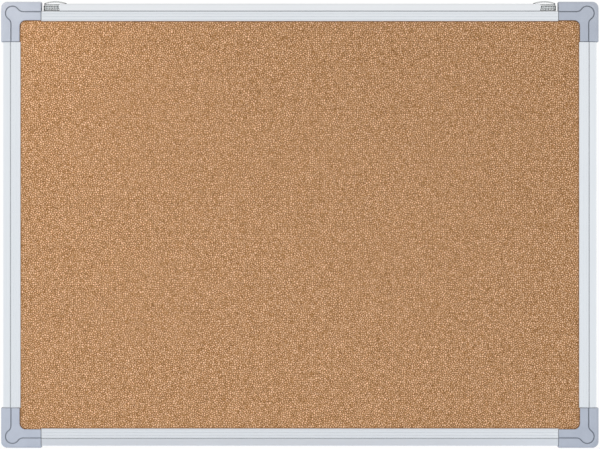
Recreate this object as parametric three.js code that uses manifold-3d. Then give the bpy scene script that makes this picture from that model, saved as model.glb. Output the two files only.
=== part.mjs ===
// Framed cork pin board: a glued cork panel in four extruded aluminium rails, joined by moulded
// corner caps, with two clear hangers that slide in the top rail's outer channel.
// Millimetres, +Z up, +X to the viewer's right, front towards -Y. The origin is the middle of the
// board's outline on the wall plane, which the backs of the corner caps rest against.
import * as THREE from "three";
import { mergeVertices } from "three/addons/utils/BufferGeometryUtils.js";
import Module from "manifold-3d";

const wasm = await Module();
wasm.setup();

// Overall outline, over the corner caps
const BOARD_WIDTH = 600;
const BOARD_HEIGHT = 448;

// Clearances
const FIT_GAP = 0.3; // between separate pieces that sit in or on each other
const GLUE_LINE = 0.15; // glue film between the layers of the panel
const SCREW_GAP = 0.15; // around a screw in its hole
const END_GAP = 0.4; // between a rail's end and the cap that it butts against

// Panel layers, front to back
const CORK_THICKNESS = 3;
const CORE_THICKNESS = 5;
const BACK_SHEET_THICKNESS = 0.4;

// Rail section. Across the rail, from its outer edge inwards: hanger channel, wall, box, wall, panel slot
const CHANNEL_HEIGHT = 6.9;
const RAIL_WALL = 1.2;
const BOX_WIDTH = 4.4;
const SLOT_DEPTH = 3.8;
// Through the rail, from the wall forwards
const RAIL_STANDOFF = 3.2; // wall plane to the rail's back, room for the hanger plates
const BACK_REBATE = 1.7; // the panel slot's back lip lies this far in front of the rail's back
const RAIL_FACE = 1.4; // front wall
const BAND_DROP = 1; // the outer band slopes back by this much at the rail's outer edge
const CHANNEL_LIP = 1.4; // thickness of the lip that holds a hanger's foot down
const CHANNEL_LIP_REACH = 2.6;
const RAIL_EDGE = 0.5; // chamfer on the front edges
// Lines along the front face
const LINE_WIDTH = 0.9; // the deep line between the outer and the inner band
const LINE_DEPTH = 1;
const REED_COUNT = 3; // fine V grooves on the inner band
const REED_PITCH = 2.8;
const REED_WIDTH = 0.6;
const REED_DEPTH = 0.3;

// Corner caps
const CAP_ARM = 40;
const CAP_PROUD_SIDE = 2; // beyond the rail's outer edge
const CAP_PROUD_FRONT = 0.6; // in front of the rail's face
const CAP_SETBACK = 0.9; // the cap's inner edge stops this far short of the rail's
const CAP_OUTER_RADIUS = 6;
const CAP_INNER_RADIUS = 6;
const CAP_EDGE = 0.7;
const CAP_WALL = 2;
const CAP_FACE = 2.8;
const CAP_END_WALL = 3;
const CAP_RIB = 2;
const CAP_LINE_STEP = 0.5; // the cap's line lies this far inside the rail's line
const CAP_LINE_WIDTH = 1.1;
const CAP_LINE_DEPTH = 1.2;
const LOBE_CENTRE = 11.5; // from both outer edges
const LOBE_RADIUS = 7;
const LOBE_FILLET = 6;
const CAP_CHAMFER_WIDTH = 2; // along the outer edges, turning into a cone about the lobe in the corner
const CAP_CHAMFER_DROP = 1.1;
const PRONG_LENGTH = 26;
const PRONG_TIP = 2.5;

// Countersunk screws that hold the rails to the cap prongs, driven from the back
const SCREW_DIAMETER = 2.2;
const SCREW_HEAD_DIAMETER = 4;
const SCREW_LENGTH = 8;
const SCREW_POINT = 1.6;
const SCREW_SETBACK = 13; // from the rail's end
const RECESS_SPAN = 2.3; // cross recess in the head
const RECESS_WIDTH = 0.6;
const RECESS_DEPTH = 0.8;

// Hangers, and the notches in the top rail that they go in through
const NOTCH_LENGTH = 18.3;
const HANGER_INSET = 2.5; // from the cap's end, where the hanger is parked
const HANGER_WIDTH = 22.3;
const FOOT_WIDTH = 15.2;
const HANGER_RISE = 3.4; // top of the arch above the rail's edge
const HANGER_SHOULDER = 1.3; // ends of the arch above the rail's edge
const HANGER_EDGE = 1.5; // round on the front edges
const HANGER_PLATE = 2.6;
const HANGER_LEG = 2.4; // leg that goes down into the channel
const FOOT_FLOOR = 1.5;
const FOOT_FLANGE = 2.2;
const FOOT_RIB_COUNT = 9;
const FOOT_RIB_PITCH = 1.6;
const FOOT_RIB_WIDTH = 0.7;
const FOOT_RIB_DEPTH = 0.35;
const PLATE_CORNER = 4;
const KEY_HEAD = 8; // largest wall screw head that hangs in the keyhole
const KEY_ENTRY = 9;
const KEY_SLOT = 4.8;
const KEY_RUN = 7.5; // slot end to entry, centre to centre
const KEY_MARGIN = 3.5; // plastic below the entry

// Facets on round stretches
const ARC_STEPS = 10;
const SCREW_SIDES = 20;
const EDGE_STEPS = 3;

// Derived across the rail: u runs inwards from the rail's outer edge
const BOX_START = CHANNEL_HEIGHT + RAIL_WALL;
const BOX_END = BOX_START + BOX_WIDTH;
const SLOT_START = BOX_END + RAIL_WALL;
const RAIL_WIDTH = SLOT_START + SLOT_DEPTH;
const LINE_CENTRE = CHANNEL_HEIGHT + RAIL_WALL / 2;
const BOX_CENTRE = (BOX_START + BOX_END) / 2;

// Derived through the rail: v runs forwards from the wall plane
const PANEL_THICKNESS = CORK_THICKNESS + CORE_THICKNESS + BACK_SHEET_THICKNESS + 2 * GLUE_LINE;
const RAIL_BACK = RAIL_STANDOFF;
const BOX_BACK = RAIL_BACK + RAIL_WALL;
const SLOT_BACK = RAIL_BACK + BACK_REBATE + RAIL_WALL;
const SLOT_FRONT = SLOT_BACK + PANEL_THICKNESS + 2 * FIT_GAP;
const RAIL_FRONT = SLOT_FRONT + RAIL_FACE;
const BAND_EDGE = RAIL_FRONT - BAND_DROP;
const CHANNEL_FRONT = BAND_EDGE - RAIL_FACE;
const LIP_BACK = CHANNEL_FRONT - CHANNEL_LIP_REACH;

// Derived for the caps: a and b run inwards from the two outer edges
const CAP_WIDTH = CAP_PROUD_SIDE + RAIL_WIDTH - CAP_SETBACK;
const CAP_FRONT = RAIL_FRONT + CAP_PROUD_FRONT;
const CAP_LINE = CAP_PROUD_SIDE + LINE_CENTRE + CAP_LINE_STEP;
const PANEL_POCKET = CAP_PROUD_SIDE + SLOT_START;
const PANEL_INSET = PANEL_POCKET + FIT_GAP;
const TOP_RAIL_LENGTH = BOARD_WIDTH - 2 * (CAP_ARM + END_GAP);
const SIDE_RAIL_LENGTH = BOARD_HEIGHT - 2 * (CAP_ARM + END_GAP);

// Derived for the hangers, in the rail's u and v
const PLATE_FRONT = RAIL_BACK - FIT_GAP;
const PLATE_BACK = PLATE_FRONT - HANGER_PLATE;
const LEG_BACK = BOX_BACK + FIT_GAP;
const LEG_FRONT = LEG_BACK + HANGER_LEG;
const FLANGE_FRONT = CHANNEL_FRONT - FIT_GAP;
const FLANGE_BACK = FLANGE_FRONT - FOOT_FLANGE;
const FOOT_TOP = CHANNEL_LIP + FIT_GAP;
const FOOT_BOTTOM = CHANNEL_HEIGHT - FIT_GAP;
const KEY_SLOT_END = RAIL_WIDTH + KEY_HEAD / 2 + FIT_GAP;
const KEY_ENTRY_CENTRE = KEY_SLOT_END + KEY_RUN;
const PLATE_BOTTOM = KEY_ENTRY_CENTRE + KEY_ENTRY / 2 + KEY_MARGIN;

// Cutters run this far past the faces that they cut
const OVERCUT = 1;

const MATERIALS = {
  cork: { color: 0xb78d66, roughness: 0.95, metalness: 0 },
  fibreboard: { color: 0xa58a68, roughness: 0.95, metalness: 0 },
  galvanised: { color: 0xb4b8ba, roughness: 0.45, metalness: 0.9 },
  aluminium: { color: 0xe4e7ea, roughness: 0.35, metalness: 0.9 },
  cap: { color: 0xa9b1bf, roughness: 0.5, metalness: 0 },
  clear: { color: 0xf2f5f5, roughness: 0.08, metalness: 0, transparent: true, opacity: 0.4 },
  zinc: { color: 0xc2c4c2, roughness: 0.35, metalness: 1 },
};
const materials = Object.fromEntries(
  Object.entries(MATERIALS).map(([name, look]) => [name, new THREE.MeshStandardMaterial(look)]),
);

// Booleans on closed geometries

function toSolid(geometry) {
  const bare = new THREE.BufferGeometry();
  bare.setAttribute("position", geometry.getAttribute("position"));
  bare.setIndex(geometry.getIndex());
  const merged = mergeVertices(bare);
  return new wasm.Manifold(
    new wasm.Mesh({
      numProp: 3,
      vertProperties: new Float32Array(merged.attributes.position.array),
      triVerts: new Uint32Array(merged.index.array),
    }),
  );
}

function toGeometry(solid) {
  const mesh = solid.getMesh();
  const geometry = new THREE.BufferGeometry();
  geometry.setAttribute("position", new THREE.BufferAttribute(mesh.vertProperties, 3));
  geometry.setIndex(new THREE.BufferAttribute(mesh.triVerts, 1));
  const flat = geometry.toNonIndexed();
  flat.computeVertexNormals();
  return flat;
}

const cut = (solid, cutters) => cutters.reduce((left, cutter) => left.subtract(toSolid(cutter)), solid);

// Geometry helpers, in whichever local frame the piece is drawn in

function polygon(points) {
  return new THREE.Shape(points.map(([x, y]) => new THREE.Vector2(x, y)));
}

function extrude(shape, from, to, edge = 0) {
  const geometry = new THREE.ExtrudeGeometry(shape, {
    depth: to - from - 2 * edge,
    curveSegments: ARC_STEPS,
    bevelEnabled: edge > 0,
    bevelThickness: edge,
    bevelSize: edge,
    bevelOffset: -edge,
    bevelSegments: EDGE_STEPS,
  });
  return geometry.translate(0, 0, from + edge);
}

function block([x0, x1], [y0, y1], [z0, z1]) {
  const geometry = new THREE.BoxGeometry(x1 - x0, y1 - y0, z1 - z0);
  return geometry.translate((x0 + x1) / 2, (y0 + y1) / 2, (z0 + z1) / 2);
}

// A turned piece about the local y axis; the profile is a list of [radius, y]
function lathe(profile, sides) {
  return new THREE.LatheGeometry(profile.map(([radius, y]) => new THREE.Vector2(radius, y)), sides);
}

// Panel layers: plain cut sheets, stacked from the slot's back lip forwards

function panelSheet(back, thickness) {
  const half = { x: BOARD_WIDTH / 2 - PANEL_INSET, z: BOARD_HEIGHT / 2 - PANEL_INSET };
  return block([-half.x, half.x], [-back - thickness, -back], [-half.z, half.z]);
}

// Rails: one extrusion for all four sides, drawn in (u, v) and extruded along w, centred on its length

function railSection() {
  const line = [LINE_CENTRE - LINE_WIDTH / 2, LINE_CENTRE + LINE_WIDTH / 2];
  const reeds = Array.from({ length: REED_COUNT }, (_, i) => LINE_CENTRE + (REED_COUNT - i) * REED_PITCH);
  return polygon([
    [0, RAIL_BACK],
    [SLOT_START, RAIL_BACK],
    [SLOT_START, SLOT_BACK - RAIL_WALL],
    [RAIL_WIDTH, SLOT_BACK - RAIL_WALL],
    [RAIL_WIDTH, SLOT_BACK],
    [SLOT_START, SLOT_BACK],
    [SLOT_START, SLOT_FRONT],
    [RAIL_WIDTH, SLOT_FRONT],
    [RAIL_WIDTH, RAIL_FRONT - RAIL_EDGE],
    [RAIL_WIDTH - RAIL_EDGE, RAIL_FRONT],
    ...reeds.flatMap((u) => [
      [u + REED_WIDTH / 2, RAIL_FRONT],
      [u, RAIL_FRONT - REED_DEPTH],
      [u - REED_WIDTH / 2, RAIL_FRONT],
    ]),
    [line[1], RAIL_FRONT],
    [line[1], RAIL_FRONT - LINE_DEPTH],
    [line[0], RAIL_FRONT - LINE_DEPTH],
    [line[0], RAIL_FRONT],
    [RAIL_EDGE, BAND_EDGE],
    [0, BAND_EDGE - RAIL_EDGE],
    [0, LIP_BACK],
    [CHANNEL_LIP, LIP_BACK],
    [CHANNEL_LIP, CHANNEL_FRONT],
    [CHANNEL_HEIGHT, CHANNEL_FRONT],
    [CHANNEL_HEIGHT, BOX_BACK],
    [0, BOX_BACK],
  ]);
}

// Countersunk hole through the rail's back wall
function railScrewHole(w) {
  const shank = SCREW_DIAMETER / 2 + SCREW_GAP;
  const head = SCREW_HEAD_DIAMETER / 2 + SCREW_GAP;
  const profile = [
    [0, RAIL_BACK - OVERCUT],
    [head, RAIL_BACK - OVERCUT],
    [head, RAIL_BACK],
    [shank, RAIL_BACK + head - shank],
    [shank, BOX_BACK + OVERCUT],
    [0, BOX_BACK + OVERCUT],
  ];
  return lathe(profile, SCREW_SIDES).translate(BOX_CENTRE, 0, w);
}

// Opening at a rail's end, right through, that lets a hanger in. Its floor flares to the line in front.
function railNotch(length, side) {
  const ends = [side * (length / 2 - NOTCH_LENGTH), side * (length / 2 + OVERCUT)].sort((p, q) => p - q);
  const front = RAIL_FRONT + OVERCUT;
  const flare = polygon([
    [CHANNEL_HEIGHT - OVERCUT, FLANGE_BACK],
    [CHANNEL_HEIGHT, FLANGE_BACK],
    [LINE_CENTRE, CHANNEL_FRONT],
    [LINE_CENTRE, front],
    [CHANNEL_HEIGHT - OVERCUT, front],
  ]);
  return [
    block([-OVERCUT, CHANNEL_HEIGHT], [RAIL_BACK - OVERCUT, front], ends),
    extrude(flare, ...ends),
  ];
}

function railGeometry(length, notched) {
  const bar = toSolid(extrude(railSection(), -length / 2, length / 2));
  const box = block(
    [BOX_START, BOX_END],
    [BOX_BACK, SLOT_FRONT],
    [-length / 2 - OVERCUT, length / 2 + OVERCUT],
  );
  const endCutters = [-1, 1].flatMap((side) => [
    railScrewHole(side * (length / 2 - SCREW_SETBACK)),
    ...(notched ? railNotch(length, side) : []),
  ]);
  return toGeometry(cut(bar, [box, ...endCutters]));
}

// Corner caps: drawn in (a, b) from the outer corner, extruded along v. Both arms are alike.

const swapped = ([a, b]) => [b, a];

function capOutline() {
  const inner = CAP_WIDTH + CAP_INNER_RADIUS;
  const shape = new THREE.Shape();
  shape.moveTo(CAP_OUTER_RADIUS, 0);
  shape.lineTo(CAP_ARM, 0);
  shape.lineTo(CAP_ARM, CAP_WIDTH);
  shape.lineTo(inner, CAP_WIDTH);
  shape.absarc(inner, inner, CAP_INNER_RADIUS, -Math.PI / 2, Math.PI, true);
  shape.lineTo(CAP_WIDTH, CAP_ARM);
  shape.lineTo(0, CAP_ARM);
  shape.lineTo(0, CAP_OUTER_RADIUS);
  shape.absarc(CAP_OUTER_RADIUS, CAP_OUTER_RADIUS, CAP_OUTER_RADIUS, Math.PI, 1.5 * Math.PI, false);
  return shape;
}

// One side of the line on the cap's face, as points from the end of the first arm round the lobe to
// the end of the second. Offset is measured from the line's middle, towards the outer corner.
function capLinePoints(offset) {
  const run = CAP_LINE - LOBE_FILLET - LOBE_CENTRE;
  const fillet = {
    a: LOBE_CENTRE + Math.sqrt((LOBE_RADIUS + LOBE_FILLET) ** 2 - run ** 2),
    b: CAP_LINE - LOBE_FILLET,
  };
  const tilt = Math.atan2(fillet.b - LOBE_CENTRE, fillet.a - LOBE_CENTRE);
  const arc = (centre, radius, from, to) =>
    Array.from({ length: ARC_STEPS + 1 }, (_, i) => {
      const angle = from + ((to - from) * i) / ARC_STEPS;
      return [centre.a + radius * Math.cos(angle), centre.b + radius * Math.sin(angle)];
    });
  const middle = -0.75 * Math.PI;
  const firstHalf = [
    [CAP_ARM + OVERCUT, CAP_LINE - offset],
    ...arc(fillet, LOBE_FILLET - offset, Math.PI / 2, Math.PI + tilt),
    ...arc({ a: LOBE_CENTRE, b: LOBE_CENTRE }, LOBE_RADIUS + offset, tilt, middle).slice(1),
  ];
  return [...firstHalf, ...firstHalf.slice(0, -1).reverse().map(swapped)];
}

function capLine() {
  const half = CAP_LINE_WIDTH / 2;
  const band = polygon([...capLinePoints(half), ...capLinePoints(-half).reverse()]);
  return extrude(band, CAP_FRONT - CAP_LINE_DEPTH, CAP_FRONT + OVERCUT);
}

// The face slopes away towards both outer edges: flat chamfers along the arms, and between them a
// cone about the lobe's axis that falls away to the outer corner
function capSlope() {
  const slope = CAP_CHAMFER_DROP / CAP_CHAMFER_WIDTH;
  const start = LOBE_CENTRE - CAP_CHAMFER_WIDTH;
  const reach = LOBE_CENTRE * Math.SQRT2 - start;
  const top = CAP_FRONT + OVERCUT;
  const ring = lathe(
    [
      [start, CAP_FRONT],
      [start + reach, CAP_FRONT - reach * slope],
      [start + reach, top],
      [start, top],
      [start, CAP_FRONT],
    ],
    4 * ARC_STEPS,
  );
  ring.rotateX(Math.PI / 2).translate(LOBE_CENTRE, LOBE_CENTRE, 0);
  const corner = block([-OVERCUT, LOBE_CENTRE], [-OVERCUT, LOBE_CENTRE], [0, top + OVERCUT]);
  const edge = [
    [CAP_CHAMFER_WIDTH, -CAP_FRONT],
    [CAP_CHAMFER_WIDTH, -top],
    [-OVERCUT, -top],
    [-OVERCUT, -CAP_FRONT + (CAP_CHAMFER_WIDTH + OVERCUT) * slope],
  ];
  const alongB = extrude(polygon(edge), LOBE_CENTRE, CAP_ARM + OVERCUT).rotateX(-Math.PI / 2);
  const alongA = extrude(polygon(edge.map(swapped)), LOBE_CENTRE, CAP_ARM + OVERCUT).rotateY(Math.PI / 2);
  return [alongA, alongB].reduce(
    (solid, prism) => solid.add(toSolid(prism)),
    toSolid(ring).intersect(toSolid(corner)),
  );
}

// Hollows from the back: one in each arm and one in the corner, with ribs left between them
function capHollows() {
  const across = [CAP_WALL, PANEL_POCKET - CAP_WALL];
  const along = [across[1] + CAP_RIB, CAP_ARM - CAP_END_WALL];
  const depth = [-OVERCUT, CAP_FRONT - CAP_FACE];
  const round = CAP_OUTER_RADIUS - CAP_WALL;
  const corner = new THREE.Shape();
  corner.moveTo(across[0] + round, across[0]);
  corner.lineTo(across[1], across[0]);
  corner.lineTo(across[1], across[1]);
  corner.lineTo(across[0], across[1]);
  corner.lineTo(across[0], across[0] + round);
  corner.absarc(across[0] + round, across[0] + round, round, Math.PI, 1.5 * Math.PI, false);
  return [block(along, across, depth), block(across, along, depth), extrude(corner, ...depth)];
}

// A tongue that pushes into the rail's box, tapered at its tip
function capProng(order) {
  const sides = [BOX_START + FIT_GAP, BOX_END - FIT_GAP].map((u) => CAP_PROUD_SIDE + u);
  const taper = (sides[1] - sides[0]) / 4;
  const root = CAP_ARM - CAP_END_WALL / 2;
  const tip = CAP_ARM + END_GAP + PRONG_LENGTH;
  const outline = [
    [root, sides[0]],
    [tip - PRONG_TIP, sides[0]],
    [tip, sides[0] + taper],
    [tip, sides[1] - taper],
    [tip - PRONG_TIP, sides[1]],
    [root, sides[1]],
  ];
  return extrude(polygon(outline.map(order)), BOX_BACK + FIT_GAP, SLOT_FRONT - FIT_GAP);
}

function prongScrewHole(order) {
  const radius = SCREW_DIAMETER / 2 + SCREW_GAP;
  const [a, b] = order([CAP_ARM + END_GAP + SCREW_SETBACK, CAP_PROUD_SIDE + BOX_CENTRE]);
  const bottom = RAIL_BACK + SCREW_LENGTH + FIT_GAP;
  const drill = lathe([[0, 0], [radius, 0], [radius, bottom], [0, bottom]], SCREW_SIDES);
  return drill.rotateX(Math.PI / 2).translate(a, b, 0);
}

function capGeometry() {
  const asDrawn = (point) => point;
  const pocket = [PANEL_POCKET, CAP_ARM + OVERCUT];
  const shell = cut(toSolid(extrude(capOutline(), 0, CAP_FRONT, CAP_EDGE)), [
    block(pocket, pocket, [SLOT_BACK, SLOT_FRONT]),
    capLine(),
    ...capHollows(),
  ]).subtract(capSlope());
  const orders = [asDrawn, swapped];
  const withProngs = orders.reduce((solid, order) => solid.add(toSolid(capProng(order))), shell);
  return toGeometry(cut(withProngs, orders.map(prongScrewHole)));
}

// Screws: turned about v, with the head flush in the rail's back

function screwGeometry() {
  const shank = SCREW_DIAMETER / 2;
  const head = SCREW_HEAD_DIAMETER / 2;
  const body = lathe(
    [
      [0, 0],
      [head, 0],
      [shank, head - shank],
      [shank, SCREW_LENGTH - SCREW_POINT],
      [0, SCREW_LENGTH],
    ],
    SCREW_SIDES,
  );
  const span = [-RECESS_SPAN / 2, RECESS_SPAN / 2];
  const width = [-RECESS_WIDTH / 2, RECESS_WIDTH / 2];
  const depth = [-OVERCUT, RECESS_DEPTH];
  return toGeometry(cut(toSolid(body), [block(span, depth, width), block(width, depth, span)]));
}

// Hangers: the hook's side profile, drawn in (u, v), goes over the channel's back wall. It is trimmed by
// the outline seen from the front. The foot under the lip is a ledge on the hook's leg. The parked end
// is at w = 0.

function hookProfile() {
  return polygon([
    [-HANGER_RISE, PLATE_BACK],
    [PLATE_BOTTOM, PLATE_BACK],
    [PLATE_BOTTOM, PLATE_FRONT],
    [-FIT_GAP, PLATE_FRONT],
    [-FIT_GAP, LEG_BACK],
    [FOOT_BOTTOM, LEG_BACK],
    [FOOT_BOTTOM, LEG_FRONT],
    [-HANGER_RISE, LEG_FRONT],
  ]);
}

function footProfile() {
  const root = LEG_FRONT - HANGER_LEG / 2;
  return polygon([
    [FOOT_BOTTOM, root],
    [FOOT_BOTTOM, FLANGE_FRONT],
    [FOOT_TOP, FLANGE_FRONT],
    [FOOT_TOP, FLANGE_BACK],
    [FOOT_BOTTOM - FOOT_FLOOR, FLANGE_BACK],
    [FOOT_BOTTOM - FOOT_FLOOR, root],
  ]);
}

// Seen from the front, in (w, u): an arched top and a plate with round lower corners
function hangerOutline() {
  const half = HANGER_WIDTH / 2;
  const arch = HANGER_RISE - HANGER_SHOULDER;
  const radius = (half ** 2 + arch ** 2) / (2 * arch);
  const lean = Math.asin(half / radius);
  const cornerCentre = PLATE_BOTTOM - PLATE_CORNER;
  const shape = new THREE.Shape();
  shape.moveTo(0, -HANGER_SHOULDER);
  shape.absarc(half, radius - HANGER_RISE, radius, -Math.PI / 2 - lean, -Math.PI / 2 + lean, false);
  shape.lineTo(HANGER_WIDTH, cornerCentre);
  shape.absarc(HANGER_WIDTH - PLATE_CORNER, cornerCentre, PLATE_CORNER, 0, Math.PI / 2, false);
  shape.lineTo(PLATE_CORNER, PLATE_BOTTOM);
  shape.absarc(PLATE_CORNER, cornerCentre, PLATE_CORNER, Math.PI / 2, Math.PI, false);
  return shape;
}

// Keyhole in (w, u): a round entry with a narrow slot above it
function keyhole() {
  const middle = HANGER_WIDTH / 2;
  const neck = Math.asin(KEY_SLOT / KEY_ENTRY);
  const shape = new THREE.Shape();
  shape.moveTo(middle - KEY_SLOT / 2, KEY_SLOT_END);
  shape.absarc(middle, KEY_SLOT_END, KEY_SLOT / 2, Math.PI, 2 * Math.PI, false);
  shape.absarc(middle, KEY_ENTRY_CENTRE, KEY_ENTRY / 2, -Math.PI / 2 + neck, 1.5 * Math.PI - neck, false);
  return shape;
}

// Drawn in (w, u) and extruded along v, then set in (u, v, w)
function fromFront(shape, from, to, edge = 0) {
  const basis = new THREE.Matrix4().makeBasis(
    new THREE.Vector3(0, 0, 1),
    new THREE.Vector3(1, 0, 0),
    new THREE.Vector3(0, 1, 0),
  );
  return extrude(shape, from, to, edge).applyMatrix4(basis);
}

function footRib(w) {
  return block(
    [0, CHANNEL_HEIGHT],
    [FLANGE_FRONT - FOOT_RIB_DEPTH, FLANGE_FRONT + OVERCUT],
    [w - FOOT_RIB_WIDTH / 2, w + FOOT_RIB_WIDTH / 2],
  );
}

// Hand is 1 for the hanger that runs from its parked end along +w, and -1 for its mirror image
function hangerGeometry(hand) {
  const firstRib = (FOOT_WIDTH - (FOOT_RIB_COUNT - 1) * FOOT_RIB_PITCH) / 2;
  const ribs = Array.from({ length: FOOT_RIB_COUNT }, (_, i) => footRib(firstRib + i * FOOT_RIB_PITCH));
  const hook = toSolid(extrude(hookProfile(), 0, HANGER_WIDTH)).intersect(
    toSolid(fromFront(hangerOutline(), PLATE_BACK - HANGER_EDGE / 2, LEG_FRONT, HANGER_EDGE)),
  );
  const foot = cut(toSolid(extrude(footProfile(), 0, FOOT_WIDTH)), ribs);
  const hole = fromFront(keyhole(), PLATE_BACK - OVERCUT, PLATE_FRONT + OVERCUT);
  const solid = cut(hook, [hole]).add(foot);
  return toGeometry(hand > 0 ? solid : solid.mirror([0, 0, 1]));
}

// Assembly

const board = new THREE.Group();

function piece(name, geometry, material, parent = board) {
  const mesh = new THREE.Mesh(geometry, materials[material]);
  mesh.name = name;
  parent.add(mesh);
  return mesh;
}

// A frame on one side of the board: u inwards from the rail's outer edge, v forwards, w along the side
function sideFrame(turn, reach) {
  const side = new THREE.Group();
  side.rotation.y = (turn * Math.PI) / 2;
  const frame = new THREE.Group();
  frame.applyMatrix4(
    new THREE.Matrix4()
      .makeBasis(new THREE.Vector3(0, 0, -1), new THREE.Vector3(0, -1, 0), new THREE.Vector3(-1, 0, 0))
      .setPosition(0, 0, reach - CAP_PROUD_SIDE),
  );
  side.add(frame);
  board.add(side);
  return frame;
}

// A frame at one corner: a and b inwards along the two outer edges, v forwards
function cornerFrame(turn, x, z) {
  const corner = new THREE.Group();
  corner.position.set(x, 0, z);
  corner.rotation.y = (turn * Math.PI) / 2;
  const frame = new THREE.Group();
  frame.applyMatrix4(
    new THREE.Matrix4().makeBasis(
      new THREE.Vector3(0, 0, -1),
      new THREE.Vector3(1, 0, 0),
      new THREE.Vector3(0, -1, 0),
    ),
  );
  corner.add(frame);
  board.add(corner);
  return frame;
}

const backSheetBack = SLOT_BACK + FIT_GAP;
const coreBack = backSheetBack + BACK_SHEET_THICKNESS + GLUE_LINE;
const corkBack = coreBack + CORE_THICKNESS + GLUE_LINE;
piece("back_sheet", panelSheet(backSheetBack, BACK_SHEET_THICKNESS), "galvanised");
piece("core_board", panelSheet(coreBack, CORE_THICKNESS), "fibreboard");
piece("cork_sheet", panelSheet(corkBack, CORK_THICKNESS), "cork");

const halfWidth = BOARD_WIDTH / 2;
const halfHeight = BOARD_HEIGHT / 2;
const SIDES = [
  { name: "top", reach: halfHeight, length: TOP_RAIL_LENGTH, ends: ["right", "left"] },
  { name: "right", reach: halfWidth, length: SIDE_RAIL_LENGTH, ends: ["bottom", "top"] },
  { name: "bottom", reach: halfHeight, length: TOP_RAIL_LENGTH, ends: ["left", "right"] },
  { name: "left", reach: halfWidth, length: SIDE_RAIL_LENGTH, ends: ["top", "bottom"] },
];
const screw = screwGeometry();
const frames = SIDES.map(({ name, reach, length, ends }, turn) => {
  const frame = sideFrame(turn, reach);
  piece(`${name}_rail`, railGeometry(length, name === "top"), "aluminium", frame);
  ends.forEach((end, i) => {
    const mesh = piece(`screw_${name}_rail_${end}`, screw, "zinc", frame);
    mesh.position.set(BOX_CENTRE, RAIL_BACK, (i ? 1 : -1) * (length / 2 - SCREW_SETBACK));
  });
  return frame;
});

const CORNERS = [
  { name: "top_left", x: -halfWidth, z: halfHeight },
  { name: "top_right", x: halfWidth, z: halfHeight },
  { name: "bottom_right", x: halfWidth, z: -halfHeight },
  { name: "bottom_left", x: -halfWidth, z: -halfHeight },
];
const cap = capGeometry();
CORNERS.forEach(({ name, x, z }, turn) => {
  piece(`corner_cap_${name}`, cap, "cap", cornerFrame(turn, x, z));
});

const parked = halfWidth - CAP_ARM - HANGER_INSET;
const HANGERS = [
  { name: "left_hanger", hand: -1, w: parked },
  { name: "right_hanger", hand: 1, w: -parked },
];
HANGERS.forEach(({ name, hand, w }) => {
  piece(name, hangerGeometry(hand), "clear", frames[0]).position.z = w;
});

export default board;
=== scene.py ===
"""Framed cork pin board: materials, softened edges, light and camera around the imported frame."""

import bpy
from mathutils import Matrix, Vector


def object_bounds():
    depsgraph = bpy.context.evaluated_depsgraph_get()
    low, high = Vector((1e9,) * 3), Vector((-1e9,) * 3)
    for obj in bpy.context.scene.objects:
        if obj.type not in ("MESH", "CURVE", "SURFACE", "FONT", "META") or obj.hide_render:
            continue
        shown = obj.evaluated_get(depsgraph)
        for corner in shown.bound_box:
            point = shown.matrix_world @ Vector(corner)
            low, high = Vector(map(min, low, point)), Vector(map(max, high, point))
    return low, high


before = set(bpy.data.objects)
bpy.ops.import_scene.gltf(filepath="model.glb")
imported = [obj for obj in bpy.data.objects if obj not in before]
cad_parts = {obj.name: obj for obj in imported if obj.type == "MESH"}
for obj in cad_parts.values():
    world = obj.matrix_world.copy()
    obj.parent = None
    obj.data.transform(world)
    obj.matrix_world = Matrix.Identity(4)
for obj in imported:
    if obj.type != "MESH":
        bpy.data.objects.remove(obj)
cad_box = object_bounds()

# Lengths are in metres, and a pattern's scale is its number of features to the metre.

# Camera: straight on, with a long lens, so that the board fills the picture as in the photograph
CAMERA_DISTANCE = 3.0
SENSOR_WIDTH = 36.0  # in millimetres
FIELD_WIDTH = 0.60236  # of the board's plane, across the picture
VIEW_CENTRE = (0.00017, 0.00029)  # x and z
RIGHT_ANGLE = 1.5707963

# Floor
FLOOR_DROP = 0.09  # the board hangs this far above it
FLOOR_RADIUS = 0.95
FLOOR_SIDES = 96
FADE = (0.4, 0.95)  # shares of the radius between which the floor fades out

# Edges
WELD_DISTANCE = 0.000002
FLAT_ANGLE = 0.01  # faces that meet at less become one
SHARP_ANGLE = 0.42  # edges that turn by more are rounded
EDGE_SEGMENTS = 2
RAIL_EDGE = 0.00009

# Materials
NOISE_RANGE = (0.3, 0.7)  # nearly all values of a noise lie between these
OCCLUSION_SAMPLES = 8
ROUNDING_SAMPLES = 6
FINE_GRAIN = 5200.0
GRANULES = 510.0
GRANULE_SWAY = 0.0004
SWAY_SCALE = 600.0
GRIT = 2000.0  # finer grains on the granules
GRIT_RANGE = (0.15, 0.55)
GRIT_SHADES = ((0.46, 1.2), (0.4, 1.235), (0.27, 1.305))  # dark and pale grains' red, green, blue
DIE_LINES = 4000.0  # across a rail
DIE_LINE_RUN = 6.0  # along it
RAIL_EASING = 0.0005
HANGER_HEAD = (0.2216, 0.2224)  # heights between which a hanger's arched head begins
SPANGLE = 95.0

WHITE = (1.0, 1.0, 1.0)
WARM = (1.0, 0.9, 0.78)
COOL = (0.78, 0.9, 1.0)

# Lamps: name, place, aim, size, power in watts, colour, and whether shiny surfaces mirror them
LAMPS = (
    ("key", (-0.62, -1.1, -0.19), (-0.05, 0, -0.14), (0.9, 0.2), 4.0, WHITE, False),
    ("low", (0.05, -0.55, -0.26), (0.05, 0, -0.15), (1.1, 0.06), 0.6, COOL, False),
    ("left_corner", (-0.38, -0.2, 0.33), (-0.29, 0, 0.22), (0.12, 0.12), 0.23, WARM, False),
    ("right_corner", (0.36, -0.16, 0.3), (0.29, 0, 0.22), (0.08, 0.08), 0.035, WARM, False),
    ("rear", (1.4, 2.6, 2.4), (0, 0, 0), (1.8, 1.6), 38.0, WHITE, True),
)


# Node graphs

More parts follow.
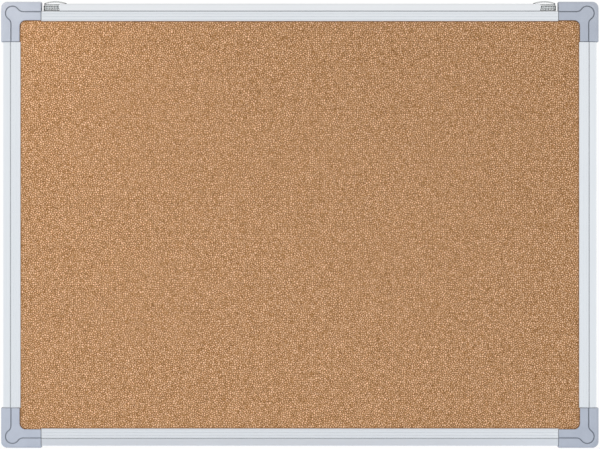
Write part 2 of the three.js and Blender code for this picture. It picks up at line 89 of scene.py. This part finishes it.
class Graph:
    """A node tree with short calls for adding and joining nodes. A colour is three numbers."""

    def __init__(self, tree):
        self.tree = tree
        tree.nodes.clear()

    def add(self, kind, settings=None, **inputs):
        node = self.tree.nodes.new("ShaderNode" + kind)
        for name, value in (settings or {}).items():
            setattr(node, name, value)
        for name, value in inputs.items():
            self.set(node, name.replace("_", " "), value)
        return node

    def set(self, node, name, value):
        self.feed(next(s for s in node.inputs if s.enabled and s.name == name), value)

    def feed(self, socket, value):
        if isinstance(value, bpy.types.NodeSocket):
            self.tree.links.new(value, socket)
        else:
            socket.default_value = value

    def fill(self, node, *values):
        """Feeds a node's sockets in their order, where they have no names of their own."""
        for socket, value in zip(node.inputs, values):
            self.feed(socket, value)
        return node.outputs[0]

    def math(self, operation, first, second=0.0):
        return self.fill(self.add("Math", {"operation": operation}), first, second)

    def span(self, value, low, high, to_low, to_high):
        """Takes low to high over to to_low to to_high, and goes no further."""
        node = self.add("MapRange", Value=value)
        ends = {"From Min": low, "From Max": high, "To Min": to_low, "To Max": to_high}
        for name, number in ends.items():
            self.set(node, name, number)
        return node.outputs["Result"]

    def vary(self, noise, to_low, to_high):
        """Spreads a noise from to_low to to_high."""
        return self.span(noise, *NOISE_RANGE, to_low, to_high)

    def ramp(self, value, stops):
        node = self.add("ValToRGB", Fac=value)
        elements = node.color_ramp.elements
        for element, (position, colour) in zip(elements, (stops[0], stops[-1])):
            element.position = position
            element.color = (*colour, 1)
        for position, colour in stops[1:-1]:
            elements.new(position).color = (*colour, 1)
        return node.outputs["Color"]

    def mix(self, factor, first, second, blend="MIX"):
        node = self.add("Mix", {"data_type": "RGBA", "blend_type": blend}, Factor=factor)
        for name, colour in (("A", first), ("B", second)):
            self.set(node, name, (*colour, 1) if isinstance(colour, tuple) else colour)
        return next(s for s in node.outputs if s.enabled)

    def place(self, scale=(1, 1, 1)):
        """Object coordinates, stretched by scale."""
        coordinates = self.add("TexCoord").outputs["Object"]
        return self.add("Mapping", Vector=coordinates, Scale=scale).outputs["Vector"]

    def noise(self, vector, scale, detail=2.0, roughness=0.5):
        node = self.add("TexNoise", Vector=vector, Scale=scale, Detail=detail, Roughness=roughness)
        return node.outputs[0]

    def face(self, scale, sway):
        """Object coordinates across the board's face, x and z, swaying by up to sway."""
        split = self.add("SeparateXYZ", Vector=self.place()).outputs
        aside = self.span(self.noise(self.place(), scale), 0.25, 0.75, -sway, sway)
        up = self.span(self.noise(self.place(), 1.3 * scale), 0.25, 0.75, -sway, sway)
        across, along = self.math("ADD", split["X"], aside), self.math("ADD", split["Z"], up)
        return self.add("CombineXYZ", X=across, Y=along).outputs[0]

    def crevice(self, vector, scale):
        """The distance to the nearest border between flat cells."""
        settings = {"feature": "DISTANCE_TO_EDGE", "voronoi_dimensions": "2D"}
        return self.add("TexVoronoi", settings, Vector=vector, Scale=scale).outputs["Distance"]

    def scatter(self, vector, scale):
        """One random number per cell, from the cell's random colour."""
        colour = self.add("TexVoronoi", Vector=vector, Scale=scale).outputs["Color"]
        return self.add("SeparateColor", Color=colour).outputs[0]

    def occlusion(self, reach, **settings):
        settings["samples"] = OCCLUSION_SAMPLES
        return self.add("AmbientOcclusion", settings, Distance=reach).outputs["AO"]

    def hollows(self, reach, own=False):
        """1 in the open, falling towards 0 in grooves and corners that are narrower than reach.
        With own set, only the piece's own surfaces count."""
        return self.occlusion(reach, only_local=own)

    def edges(self, reach):
        """1 on the flat, falling towards 0 along outer edges, over about half of reach."""
        return self.occlusion(reach, only_local=True, inside=True)

    def rounded(self, radius):
        """The surface's direction with its edges eased, as after blasting and anodising."""
        return self.add("Bevel", {"samples": ROUNDING_SAMPLES}, Radius=radius).outputs["Normal"]

    def bump(self, height, strength, distance, normal=None):
        node = self.add("Bump", Height=height, Strength=strength, Distance=distance)
        if normal:
            self.set(node, "Normal", normal)
        return node.outputs["Normal"]

    def between(self, factor, first, second):
        """Mixes two shaders."""
        return self.fill(self.add("MixShader"), factor, first.outputs[0], second.outputs[0])


def blank(name):
    made = bpy.data.materials.new(name)
    made.use_nodes = True
    return made, Graph(made.node_tree)


def material(name):
    made, graph = blank(name)
    surface = graph.add("BsdfPrincipled")
    graph.add("OutputMaterial", Surface=surface.outputs[0])
    return made, graph, surface


def cork():
    """Pressed granules about two millimetres across, dark in the crevices between them, with grit
    on top and painted shade along the frame, where the frame's lip and caps shadow the sheet."""
    made, g, surface = material("cork")
    bark, body, pale = (0.165, 0.064, 0.0155), (0.438, 0.21, 0.0705), (0.735, 0.456, 0.28)
    # painted shade colour for the sheet's edge along the frame
    painted_edge_shade = (0.085, 0.03, 0.018)
    depth = g.span(g.crevice(g.face(SWAY_SCALE, GRANULE_SWAY), GRANULES), 0.0, 0.3, 0.0, 1.0)
    colour = g.ramp(depth, ((0.0, bark), (0.5, body), (1.0, pale)))
    grit = g.scatter(g.place(), GRIT)
    red, green, blue = (g.span(grit, *GRIT_RANGE, *ends) for ends in GRIT_SHADES)
    shade = g.add("CombineColor", Red=red, Green=green, Blue=blue).outputs[0]
    colour = g.mix(1.0, colour, shade, "MULTIPLY")
    # painted shade: darkens towards a deep brown where the sheet meets the frame's lip and caps,
    # standing in for their shadow
    colour = g.mix(g.span(g.hollows(0.0022), 0.5, 0.76, 0.9, 0.0), colour, painted_edge_shade)
    fine = g.noise(g.place(), FINE_GRAIN, 3.0, 0.6)
    g.set(surface, "Base Color", colour)
    g.set(surface, "Roughness", g.vary(fine, 0.82, 0.97))
    g.set(surface, "Specular IOR Level", 0.2)
    relief = g.math("ADD", g.math("MULTIPLY", depth, 0.6), g.math("MULTIPLY", fine, 0.4))
    g.set(surface, "Normal", g.bump(relief, 0.5, 0.0002))
    return made


def aluminium(name, along):
    """Satin anodised extrusion: fine die lines along the rail, a slight unevenness of the satin,
    and painted shade in the grooves and at the joints with the caps."""
    made, g, surface = material(name)
    dull, bright, film = (0.885, 0.9, 0.918), (0.95, 0.96, 0.968), (0.9, 0.912, 0.93)
    # painted shade colour for the grooves and joints
    painted_shade_tone = (0.17, 0.18, 0.2)
    stretch = [DIE_LINES, DIE_LINES, DIE_LINES]
    stretch[along] = DIE_LINE_RUN
    lines = g.noise(g.place(stretch), 1.0, 3.0, 0.6)
    satin = g.noise(g.place(), FINE_GRAIN, 2.0, 0.6)
    cloud = g.noise(g.place(), 22.0, 2.0, 0.5)
    tone = g.mix(g.vary(lines, 0.0, 1.0), dull, bright)
    tone = g.mix(g.vary(cloud, 0.0, 0.5), tone, film)
    # painted shade: darkens towards grey in the rail's own grooves and where it meets other pieces,
    # standing in for shadow there
    grooves = g.span(g.hollows(0.003, own=True), 0.3, 0.72, 0.62, 0.0)
    joints = g.span(g.hollows(0.0008), 0.3, 0.75, 0.7, 0.0)
    g.set(surface, "Base Color", g.mix(g.math("MAXIMUM", grooves, joints), tone, painted_shade_tone))
    g.set(surface, "Metallic", 1.0)
    rough = g.math("ADD", g.vary(lines, 0.3, 0.38), g.vary(satin, -0.02, 0.03))
    g.set(surface, "Roughness", rough)
    drawn = g.bump(lines, 0.1, 0.00003, g.rounded(RAIL_EASING))
    g.set(surface, "Normal", g.bump(satin, 0.12, 0.00002, drawn))
    return made


def cap_plastic():
    """Grey moulded plastic with a fine eroded texture, slight flow marks and painted groove shade."""
    made, g, surface = material("cap_plastic")
    deep, mid, pale = (0.378, 0.403, 0.465), (0.415, 0.441, 0.502), (0.48, 0.51, 0.576)
    # painted shade colour for the grooves and joints
    painted_shade_tone = (0.1, 0.115, 0.14)
    grain = g.noise(g.place(), 2600.0, 3.0, 0.55)
    flow = g.noise(g.place(), 60.0, 3.0, 0.5)
    tone = g.mix(g.vary(flow, 0.0, 1.0), deep, mid)
    tone = g.mix(g.span(grain, 0.35, 0.7, 0.0, 0.3), tone, pale)
    # painted shade: darkens in the cap's grooves and at its joints with the rails, standing in for
    # shadow there
    grooves = g.span(g.hollows(0.0016, own=True), 0.4, 0.9, 0.6, 0.0)
    joints = g.span(g.hollows(0.0006), 0.3, 0.7, 0.6, 0.0)
    g.set(surface, "Base Color", g.mix(g.math("MAXIMUM", grooves, joints), tone, painted_shade_tone))
    g.set(surface, "Roughness", g.vary(grain, 0.42, 0.56))
    g.set(surface, "Specular IOR Level", 0.45)
    g.set(surface, "Normal", g.bump(grain, 0.18, 0.00006))
    return made


def clear_plastic():
    """Clear moulded plastic with faint flow waves and light haze, with painted shade along its edges
    and in its grooves, most of all round the arched head, in place of the dark that refraction and
    shadow show there."""
    made, g, surface = material("clear_plastic")
    # dark is the painted shade colour for the edges and grooves
    tinted, clean, dark = (0.93, 0.955, 0.96), (0.985, 0.99, 0.99), (0.02, 0.022, 0.024)
    waves = g.noise(g.place(), 160.0, 2.0, 0.5)
    haze = g.noise(g.place(), 900.0, 3.0, 0.6)
    clear = g.mix(g.vary(waves, 0.0, 1.0), tinted, clean)
    height = g.add("SeparateXYZ", Vector=g.place()).outputs["Z"]
    head = g.span(height, *HANGER_HEAD, 0.0, 1.0)
    # painted shade: darkens along the edges, most round the arched head, and in the grooves
    rim = g.math("MULTIPLY", head, g.span(g.edges(0.0022), 0.74, 0.99, 1.0, 0.0))
    edge = g.math("MAXIMUM", rim, g.span(g.edges(0.0005), 0.45, 0.95, 0.9, 0.0))
    corner = g.span(g.hollows(0.0016, own=True), 0.62, 0.985, 1.0, 0.0)
    g.set(surface, "Base Color", g.mix(g.math("MAXIMUM", edge, corner), clear, dark))
    g.set(surface, "Roughness", g.span(haze, 0.35, 0.75, 0.03, 0.12))
    g.set(surface, "Transmission Weight", 1.0)
    g.set(surface, "IOR", 1.5)
    g.set(surface, "Normal", g.bump(waves, 0.08, 0.0004))
    return made


def galvanised_steel():
    """Zinc spangle: flat crystals of differing brightness, with a thin dull film."""
    made, g, surface = material("galvanised_steel")
    dull, mid, bright = (0.42, 0.44, 0.452), (0.55, 0.57, 0.58), (0.68, 0.695, 0.7)
    warp = g.noise(g.place(), 60.0, 3.0, 0.6)
    bend = g.add("CombineXYZ", X=g.vary(warp, -0.004, 0.004), Z=g.vary(warp, 0.003, -0.003))
    bent = g.fill(g.add("VectorMath", {"operation": "ADD"}), g.place(), bend.outputs[0])
    crystals = g.scatter(bent, SPANGLE)
    needles = g.noise(g.place((900.0, 900.0, 240.0)), 1.0, 3.0, 0.6)
    shade = g.math("ADD", g.math("MULTIPLY", crystals, 0.8), g.math("MULTIPLY", needles, 0.2))
    g.set(surface, "Base Color", g.ramp(shade, ((0.1, dull), (0.5, mid), (0.9, bright))))
    g.set(surface, "Metallic", 0.9)
    g.set(surface, "Roughness", g.span(shade, 0.1, 0.9, 0.52, 0.36))
    g.set(surface, "Normal", g.bump(shade, 0.06, 0.0002))
    return made


def fibreboard():
    """Soft pressed fibre: short matted strands in dull browns."""
    made, g, surface = material("fibreboard")
    dark, mid, pale = (0.2, 0.135, 0.078), (0.37, 0.262, 0.155), (0.5, 0.372, 0.235)
    stops = ((0.28, dark), (0.5, mid), (0.75, pale))
    strands = g.noise(g.place((1400.0, 500.0, 1400.0)), 1.0, 4.0, 0.65)
    clumps = g.noise(g.place(), 260.0, 3.0, 0.6)
    g.set(surface, "Base Color", g.mix(0.35, g.ramp(strands, stops), g.ramp(clumps, stops)))
    g.set(surface, "Roughness", g.vary(strands, 0.86, 0.98))
    g.set(surface, "Normal", g.bump(strands, 0.5, 0.0002))
    return made


def zinc_plate():
    """Bright zinc plating with fine turning marks and worn high spots."""
    made, g, surface = material("zinc_plated_steel")
    dull, bright, worn = (0.52, 0.53, 0.52), (0.66, 0.665, 0.64), (0.72, 0.725, 0.715)
    turned = g.noise(g.place((1500.0, 6000.0, 1500.0)), 1.0, 3.0, 0.6)
    film = g.noise(g.place(), 700.0, 3.0, 0.6)
    tone = g.mix(g.vary(film, 0.0, 1.0), dull, bright)
    g.set(surface, "Base Color", g.mix(g.vary(turned, 0.0, 0.4), tone, worn))
    g.set(surface, "Metallic", 1.0)
    g.set(surface, "Roughness", g.vary(film, 0.26, 0.42))
    g.set(surface, "Normal", g.bump(turned, 0.1, 0.00004))
    return made


# Looks on the frame's own pieces: real edges are never sharp, so each piece has a small round on them

def soften(piece, width):
    """Rounds a piece's edges, and shades it by the rounded shape."""
    mesh = piece.data
    if "custom_normal" in mesh.attributes:
        mesh.attributes.remove(mesh.attributes["custom_normal"])
    mesh.shade_smooth()
    weld = piece.modifiers.new("weld", "WELD")
    weld.merge_threshold = WELD_DISTANCE
    flat = piece.modifiers.new("flat", "DECIMATE")
    flat.decimate_type = "DISSOLVE"
    flat.angle_limit = FLAT_ANGLE
    edge = piece.modifiers.new("edge", "BEVEL")
    edge.width = width
    edge.segments = EDGE_SEGMENTS
    edge.limit_method = "ANGLE"
    edge.angle_limit = SHARP_ANGLE
    edge.harden_normals = True


def dress(piece, look, width):
    piece.data.materials.clear()
    piece.data.materials.append(look)
    soften(piece, width)


# Material and width of the round. The first word that a piece's name contains counts.
LOOKS = {
    "cork_sheet": (cork(), 0.0003),
    "core_board": (fibreboard(), 0.0002),
    "back_sheet": (galvanised_steel(), 0.00008),
    "corner_cap": (cap_plastic(), 0.00022),
    "hanger": (clear_plastic(), 0.0001),
    "screw": (zinc_plate(), 0.00006),
}
LOOKS["top_rail"] = LOOKS["bottom_rail"] = (aluminium("aluminium_across", 0), RAIL_EDGE)
LOOKS["left_rail"] = LOOKS["right_rail"] = (aluminium("aluminium_upright", 2), RAIL_EDGE)

for name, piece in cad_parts.items():
    dress(piece, *next(look for word, look in LOOKS.items() if word in name))


# Stage

def floor():
    """A pale round floor that fades out into the white surround."""
    bpy.ops.mesh.primitive_circle_add(vertices=FLOOR_SIDES, radius=FLOOR_RADIUS, fill_type="NGON")
    disc = bpy.context.object
    disc.name = "floor"
    disc.location = (0, 0, cad_box[0].z - FLOOR_DROP)
    made, g = blank("floor")
    grain = g.noise(g.place(), 180.0, 3.0, 0.5)
    paint = g.add("BsdfDiffuse", Color=g.mix(grain, (0.79, 0.85, 0.925), (0.82, 0.88, 0.955)))
    radius = g.add("VectorMath", {"operation": "LENGTH"}, Vector=g.place()).outputs["Value"]
    fade = g.span(radius, FADE[0] * FLOOR_RADIUS, FADE[1] * FLOOR_RADIUS, 0.0, 1.0)
    g.add("OutputMaterial", Surface=g.between(fade, paint, g.add("BsdfTransparent")))
    disc.data.materials.append(made)
    return disc


def surround():
    """White where the camera sees it. For light and reflections it is brightest in front of the
    board, at the sides and above. Through clear plastic it is bright in front and straight behind,
    and half as bright at the sides, which draws the plastic's edges."""
    world = bpy.data.worlds.new("surround")
    bpy.context.scene.world = world
    world.use_nodes = True
    g = Graph(world.node_tree)
    direction = g.add("SeparateXYZ", Vector=g.add("TexCoord").outputs["Generated"])
    x, y, z = direction.outputs
    front = g.span(y, 0.2, -1.0, 0.42, 0.89)
    sides = g.math("MULTIPLY", g.math("POWER", g.math("ABSOLUTE", x), 3.0), 0.55)
    tilt = g.math("ADD", sides, g.math("MULTIPLY", z, 0.12))
    below, above = (0.88, 0.945, 1.0), (0.985, 0.99, 1.0)
    tint = g.mix(g.span(z, -0.4, 0.4, 0.0, 1.0), below, above)
    room = g.add("Background", Color=tint, Strength=g.math("ADD", front, tilt))
    path = g.add("LightPath").outputs
    behind = g.span(y, 0.8, 0.99, 0.5, 1.0)
    through = g.math("MAXIMUM", behind, g.span(y, 0.0, -0.3, 0.0, 0.95))
    level = g.math("MAXIMUM", path["Is Camera Ray"], through)
    white = g.add("Background", Color=(*WHITE, 1), Strength=level)
    seen = g.math("MAXIMUM", path["Is Camera Ray"], path["Is Transmission Ray"])
    g.add("OutputWorld", Surface=g.between(seen, room, white))


def softbox(name, place, aim, size, power, colour, mirrored):
    data = bpy.data.lights.new(name, "AREA")
    data.shape = "RECTANGLE"
    data.size, data.size_y = size
    data.energy = power
    data.color = colour
    lamp = bpy.data.objects.new(name, data)
    bpy.context.scene.collection.objects.link(lamp)
    lamp.location = place
    lamp.rotation_euler = (Vector(aim) - Vector(place)).to_track_quat("-Z", "Y").to_euler()
    lamp.visible_camera = False
    lamp.visible_glossy = mirrored
    return lamp


def spare(lamp, disc):
    """Keeps a lamp that stands close to the floor from drawing a streak on it."""
    lit = bpy.data.collections.new(lamp.name + "_lit")
    lit.objects.link(disc)
    lit.collection_objects[0].light_linking.link_state = "EXCLUDE"
    lamp.light_linking.receiver_collection = lit


def camera():
    data = bpy.data.cameras.new("camera")
    data.sensor_width = SENSOR_WIDTH
    data.lens = SENSOR_WIDTH * CAMERA_DISTANCE / FIELD_WIDTH
    shot = bpy.data.objects.new("camera", data)
    bpy.context.scene.collection.objects.link(shot)
    shot.location = (VIEW_CENTRE[0], cad_box[0].y - CAMERA_DISTANCE, VIEW_CENTRE[1])
    shot.rotation_euler = (RIGHT_ANGLE, 0, 0)
    bpy.context.scene.camera = shot


ground = floor()
surround()
lamps = {row[0]: softbox(*row) for row in LAMPS}
spare(lamps["low"], ground)
camera()
bpy.context.scene.view_settings.view_transform = "Standard"
